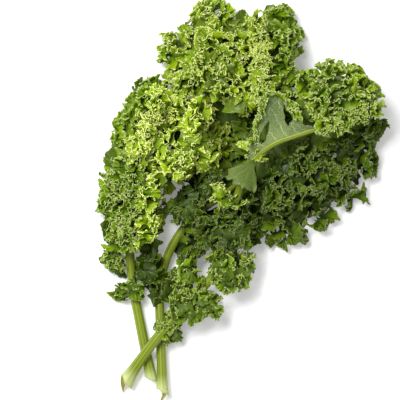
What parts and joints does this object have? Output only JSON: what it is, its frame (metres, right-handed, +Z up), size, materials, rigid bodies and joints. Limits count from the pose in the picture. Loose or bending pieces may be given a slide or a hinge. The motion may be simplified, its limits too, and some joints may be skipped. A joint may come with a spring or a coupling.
{
  "type": "kale bunch",
  "caption": "Loose bunch of curly kale leaves on long pale stems, lying flat with the stems crossed near their cut ends.",
  "frame": {"origin": "middle of the bunch's footprint, on the surface that it lies on", "axes": "+Z up from the surface, +Y from the cut stem ends towards the leaf tips, +X to the right seen from above"},
  "size_m": [0.2792, 0.3856, 0.0757],
  "materials": {
    "leaf": "satin leaf surface with paler frilled margins",
    "stem": "smooth waxy ribbed stalk"
  },
  "bodies": {
    "root": {"left_stem": "stem", "middle_stem": "stem", "right_stem": "stem", "left_leaf_outer_blade": "leaf", "left_leaf_inner_blade": "leaf", "middle_leaf_left_blade": "leaf", "middle_leaf_right_blade": "leaf", "right_leaf_upper_blade": "leaf", "right_leaf_lower_blade": "leaf", "middle_leaf_lower_lobe": "leaf", "middle_leaf_base_lobe": "leaf", "right_leaf_folded_lobe": "leaf", "right_leaf_left_base_lobe": "leaf", "right_leaf_right_base_lobe": "leaf", "right_stem_upright_leaflet": "leaf", "right_stem_upper_leaflet": "leaf", "right_stem_lower_leaflet": "leaf", "left_stem_upper_leaflet": "leaf", "left_stem_inner_leaflet": "leaf", "left_stem_side_leaflet": "leaf", "left_stem_lower_leaflet": "leaf", "middle_stem_left_leaflet": "leaf", "middle_stem_right_leaflet": "leaf", "middle_stem_lower_leaflet": "leaf"}
  },
  "joints": []
}
